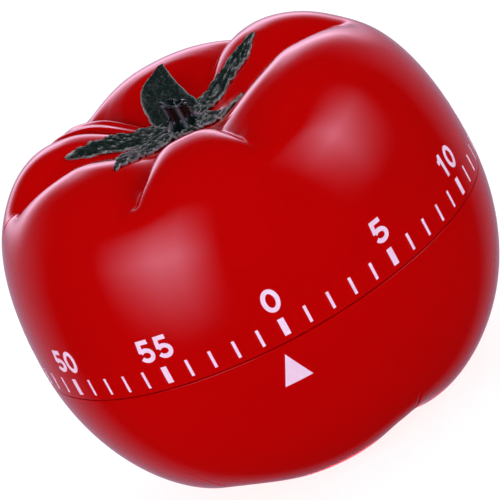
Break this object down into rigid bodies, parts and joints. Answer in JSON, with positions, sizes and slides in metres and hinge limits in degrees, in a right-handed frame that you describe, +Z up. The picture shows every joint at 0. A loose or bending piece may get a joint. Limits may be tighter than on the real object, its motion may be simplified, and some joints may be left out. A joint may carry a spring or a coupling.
{
  "type": "kitchen timer",
  "caption": "Tomato-shaped mechanical kitchen timer: the ribbed upper half turns on the lower half to wind a clockwork movement that strikes an inner bell.",
  "frame": {"origin": "centre of the underside of the case, on the axis that the upper half turns about", "axes": "+Z up along the turning axis, -Y towards the pointer on the lower half"},
  "size_m": [0.072, 0.072, 0.0579],
  "materials": {
    "case_red": "high-gloss moulded plastic, deep tomato red",
    "calyx_green": "soft moulded plastic with a veined, wrinkled surface",
    "steel": "drawn steel, fine satin",
    "plate_steel": "stamped zinc-plated sheet",
    "bell_chrome": "pressed and nickel-plated",
    "brass": "stamped brass, bright",
    "spring_steel": "blued spring steel",
    "cam_white": "natural acetal",
    "screw_steel": "zinc-plated screw"
  },
  "bodies": {
    "base": {"lower_shell": "case_red", "base_cover": "case_red", "cover_screws": "screw_steel", "bell": "bell_chrome", "bell_post": "brass", "bell_screw": "screw_steel", "bottom_plate": "plate_steel", "top_plate": "plate_steel", "plate_pillars": "brass", "pillar_screws": "screw_steel", "movement_screws": "screw_steel", "mainspring": "spring_steel", "spring_post": "brass", "stop_pin": "steel", "release_stud": "steel", "release_spring": "spring_steel"},
    "dial": {"upper_shell": "case_red", "calyx": "calyx_green", "dial_screw": "screw_steel", "winding_arbor": "steel", "main_wheel": "brass", "clutch_spring": "spring_steel", "alarm_cam": "cam_white", "stop_arm": "cam_white"},
    "second_arbor": {"second_pinion": "steel", "second_wheel": "brass"},
    "third_arbor": {"third_pinion": "steel", "third_wheel": "brass"},
    "escape_arbor": {"escape_pinion": "steel", "escape_wheel": "brass"},
    "regulator": {"pallet_arbor": "steel", "pallet_lever": "brass", "balance_bar": "steel"},
    "alarm_arbor": {"alarm_pinion": "steel", "alarm_wheel": "brass"},
    "hammer": {"hammer_arbor": "steel", "hammer_pallet": "steel", "hammer_arm": "steel", "hammer_head": "brass", "lock_crank": "steel"},
    "release": {"release_lever": "spring_steel"}
  },
  "joints": [
    {"name": "dial_turn", "type": "hinge", "parent": "base", "child": "dial", "pos_m": [0, 0, 0.02], "axis": [0, 0, 1], "range_deg": [-348, 0]},
    {"name": "second_turn", "type": "hinge", "parent": "base", "child": "second_arbor", "pos_m": [0.0072, -0.01247, 0.02], "axis": [0, 0, 1], "range_deg": [0, 1745]},
    {"name": "third_turn", "type": "hinge", "parent": "base", "child": "third_arbor", "pos_m": [0.0136, -0.00232, 0.02], "axis": [0, 0, 1], "range_deg": [-6965, 0]},
    {"name": "escape_turn", "type": "hinge", "parent": "base", "child": "escape_arbor", "pos_m": [0.01269, 0.00638, 0.02], "axis": [0, 0, 1], "range_deg": [0, 27845]},
    {"name": "regulator_rock", "type": "hinge", "parent": "base", "child": "regulator", "pos_m": [0.00808, 0.01204, 0.02], "axis": [0, 0, 1], "range_deg": [-3, 3]},
    {"name": "alarm_turn", "type": "hinge", "parent": "base", "child": "alarm_arbor", "pos_m": [-0.01247, 0.0072, 0.02], "axis": [0, 0, 1], "range_deg": [0, 1745]},
    {"name": "hammer_swing", "type": "hinge", "parent": "base", "child": "hammer", "pos_m": [-0.0136, 0.00009, 0.02], "axis": [0, 0, 1], "range_deg": [-2.6, 8]},
    {"name": "release_lift", "type": "hinge", "parent": "base", "child": "release", "pos_m": [-0.00877, -0.00877, 0.027], "axis": [0, 0, 1], "range_deg": [0, 4], "stiffness_Nm_per_rad": 0.0005}
  ],
  "couplings": [
    {"joint": "second_turn", "follows": "dial_turn", "ratio": -5},
    {"joint": "third_turn", "follows": "dial_turn", "ratio": 20},
    {"joint": "escape_turn", "follows": "dial_turn", "ratio": -80},
    {"joint": "alarm_turn", "follows": "dial_turn", "ratio": -5}
  ]
}
